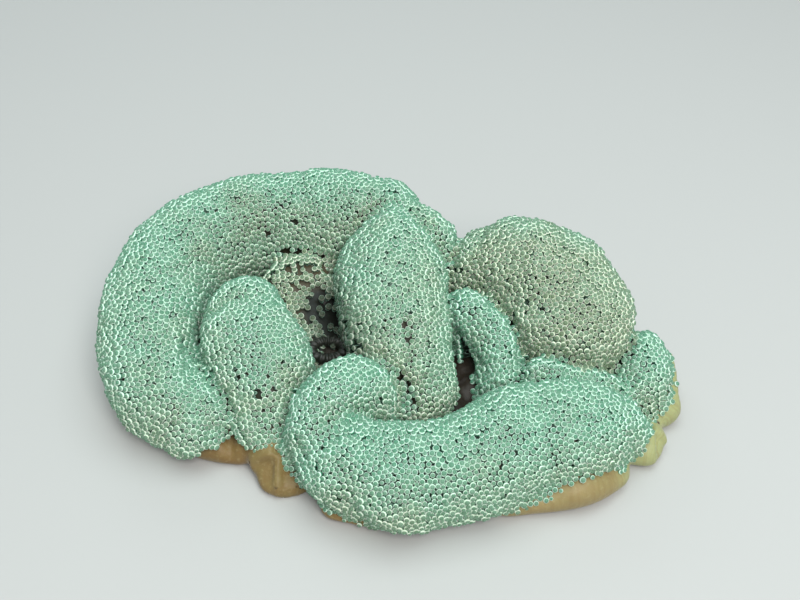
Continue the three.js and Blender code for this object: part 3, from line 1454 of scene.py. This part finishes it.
    def bake_map(self, mesh: bpy.types.Mesh, batch: "Batch", spin: Array, each: int) -> None:
        """Gives each tentacle a round patch of the map, at its foot's place on the unwrapped fold.

        The fold is unwrapped by the distance along it and round it. A patch's radius is under
        half the distance to the next patch, so that no two overlap, and a tentacle fills its
        patch from the tip in the middle to the foot at the rim.

        Args:
            mesh: the piece's mesh.
            batch: its tentacles.
            spin: each tentacle's angles of its sides.
            each: how many points a tentacle has.
        """
        seam = math.pi / 2
        around = ((batch.places[:, 1] + seam) % (2 * math.pi)) * FLAT_RADIUS
        flat = np.stack([batch.places[:, 0], around], -1)
        flat += self.rng.uniform(-0.9, 0.9, flat.shape)
        flat = flat - flat.min(axis=0) + 2.0
        whole = flat.max(axis=0) + 2.0
        nearest = np.full(len(flat), 6.0)
        level = np.column_stack([flat, np.zeros(len(flat))])
        one, two = close_pairs(level, 6.0)
        gap = np.linalg.norm(level[one] - level[two], axis=1)
        np.minimum.at(nearest, one, gap)
        np.minimum.at(nearest, two, gap)
        size = np.clip(0.47 * nearest, 0.15, 1.9)
        share = np.array(self.patch)[None, :, None, None]
        ring = np.stack([np.cos(spin), np.sin(spin)], -1)[:, None] * share
        patch = np.concatenate([np.zeros((len(flat), 1, 2)), ring.reshape(len(flat), -1, 2)], 1)
        uv = ((flat[:, None] + patch * size[:, None, None]) / whole).reshape(-1, 2)
        corners = np.empty(len(mesh.loops), np.int32)
        mesh.loops.foreach_get("vertex_index", corners)
        sides = np.empty(len(mesh.polygons), np.int32)
        mesh.polygons.foreach_get("loop_total", sides)
        loops = uv[corners]
        is_foot = np.repeat(sides == self.segments, sides)
        owner = corners // each
        rim = uv.reshape(len(flat), each, 2)[:, -1]
        loops[is_foot] = rim[owner[is_foot]]
        layer = mesh.uv_layers.new(name="OFBake")
        layer.data.foreach_set("uv", loops.ravel().astype(np.float32))


@dataclass(frozen=True)
class Batch:
    """The tentacles of one length of fold.

    Attributes:
        centres: the beads' middles, in mm.
        normals: the surface's normals there.
        radius: the beads' radii, in mm.
        places: rows of the distance along the fold and the turn round it.
        olive: their tone, from 0, mint green, to 1, olive grey, made more mint on the upward side as
            painted light.
    """

    centres: Array
    normals: Array
    radius: Array
    places: Array
    olive: Array


FLAT_RADIUS = 25.0


# ------------------------------------------------------------------ the mouth


@dataclass
class Mouth:
    """A low oval ring of pleated lips on the floor of the hollow.

    Attributes:
        middle: the middle of the ring, in mm.
        ring: its mean radius, in mm.
        lip: the lip's own radius, in mm.
        pleats: how many folds the lips have.
    """

    middle: tuple[float, float, float] = (-29.0, -4.0, 21.0)
    ring: float = 7.0
    lip: float = 2.6
    pleats: int = 16

    def build(self) -> bpy.types.Object:
        """Makes the lips as a ring whose section swells and thins round it.

        A point lies at the ring's radius, stretched by 12% one way, plus the lip's radius times
        the cosine of the turn round the lip; the lip's radius swells by 14% at each pleat.
        """
        round_ring = np.linspace(0, 2 * math.pi, 128, endpoint=False)[:, None]
        round_lip = np.linspace(0, 2 * math.pi, 16, endpoint=False)[None]
        oval = self.ring * (1 + 0.12 * np.cos(2 * round_ring))
        lip = self.lip * (1 + 0.14 * np.cos(self.pleats * round_ring))
        reach = oval + lip * np.cos(round_lip)
        height = lip * np.sin(round_lip)
        shape = (reach * np.cos(round_ring), reach * np.sin(round_ring), height)
        points = np.stack(np.broadcast_arrays(*shape), -1) + np.array(self.middle)
        ring, lip_at = np.meshgrid(np.arange(128), np.arange(16), indexing="ij")
        after = (ring + 1) % 128
        above = (lip_at + 1) % 16
        corners = (ring * 16 + lip_at, after * 16 + lip_at, after * 16 + above, ring * 16 + above)
        faces = np.stack(corners, -1).reshape(-1, 4)
        made = new_object("mouth_lips", points.reshape(-1, 3), faces)
        made.data.materials.append(self.finish())
        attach(made, "root")
        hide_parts("mouth")
        LOG.info("mouth_lips: %d points", len(made.data.vertices))
        return made

    def finish(self) -> bpy.types.Material:
        """Makes the lips' flesh nearly black as painted shade of the hollow, with fine mottling."""
        g = Graph("lip_flesh")
        fine = g.noise(g.place(), 900.0, 3.0)
        # Painted shade: the lips are nearly black, as the hollow's shade.
        colour = g.mix(fine.step(0.35, 0.65), rgb(32, 34, 26), rgb(22, 25, 19))
        return g.finish(
            Base_Color=colour,
            Roughness=0.4 + fine * 0.2,
            Normal=g.bump(fine, 0.0003),
            Subsurface_Weight=0.2,
            Subsurface_Radius=(1.0, 0.7, 0.4),
            Subsurface_Scale=0.002,
        )


# ------------------------------------------------------------------ the studio


@dataclass(frozen=True)
class Studio:
    """The camera, the floor and the soft lights.

    Attributes:
        target: the point that the camera looks at, in mm.
        elevation: how far the camera looks down, in degrees.
        distance: how far away it stands, in mm.
        picture_width: the picture's width in pixels.
        focal_pixels: the focal length in the same pixels.
    """

    target: tuple[float, float, float] = (5.0, 34.0, 20.0)
    elevation: float = 40.0
    distance: float = 550.0
    picture_width: float = 800.0
    focal_pixels: float = 1100.0

    def camera(self) -> None:
        """Stands the camera in front of the anemone, looking down at it."""
        data = bpy.data.cameras.new("camera")
        data.sensor_width = 36.0
        data.lens = data.sensor_width * self.focal_pixels / self.picture_width
        data.clip_start = 0.01
        data.clip_end = 20.0
        camera = bpy.data.objects.new("camera", data)
        slope = math.radians(self.elevation)
        back = Vector((0.0, -math.cos(slope), math.sin(slope)))
        camera.location = (Vector(self.target) + back * self.distance) * MM
        camera.rotation_euler = (math.pi / 2 - slope, 0.0, 0.0)
        bpy.context.scene.collection.objects.link(camera)
        bpy.context.scene.camera = camera

    def floor(self) -> None:
        """Lays a wide pale floor just under the anemone."""
        half = 4000.0
        corners = np.array([[-half, -half, 0], [half, -half, 0], [half, half, 0], [-half, half, 0]])
        floor = new_object("floor", corners - [0, 0, 0.2], [(0, 1, 2, 3)])
        floor.data.materials.append(FloorFinish().make())

    def lights(self) -> None:
        """Hangs a large soft light overhead, a weaker one in front and one behind."""
        self.area("top_light", (0.15, 0.0, 1.3), 1.2, 12.5, (0.86, 1.0, 1.0))
        self.area("front_light", (0.35, -1.15, 1.3), 0.8, 25.5, (1.0, 0.985, 0.965))
        self.area("back_light", (-0.5, 1.3, 0.9), 0.8, 3.0, (0.85, 1.0, 1.0))
        world = bpy.data.worlds.new("studio")
        world.use_nodes = True
        background = world.node_tree.nodes["Background"]
        background.inputs["Color"].default_value = (0.92, 0.97, 1.0, 1.0)
        background.inputs["Strength"].default_value = 0.36
        bpy.context.scene.world = world

    def area(
        self,
        name: str,
        place: tuple[float, float, float],
        size: float,
        power: float,
        colour: tuple[float, float, float],
    ) -> None:
        """Hangs one square light that faces the anemone; sizes in metres, power in watts."""
        data = bpy.data.lights.new(name, "AREA")
        data.size = size
        data.energy = power
        data.color = colour
        light = bpy.data.objects.new(name, data)
        light.location = place
        light.rotation_euler = (-Vector(place)).to_track_quat("-Z", "Y").to_euler()
        bpy.context.scene.collection.objects.link(light)


def main() -> None:
    """Builds the studio, the skin, its coat of tentacles and the mouth."""
    logging.basicConfig(level=logging.INFO, format="%(message)s")
    bpy.context.scene.view_settings.view_transform = "Standard"
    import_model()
    studio = Studio()
    studio.camera()
    studio.floor()
    studio.lights()
    skin = Skin()
    skin.build()
    TentacleCoat(skin).build()
    Mouth().build()


if __name__ == "__main__":
    main()
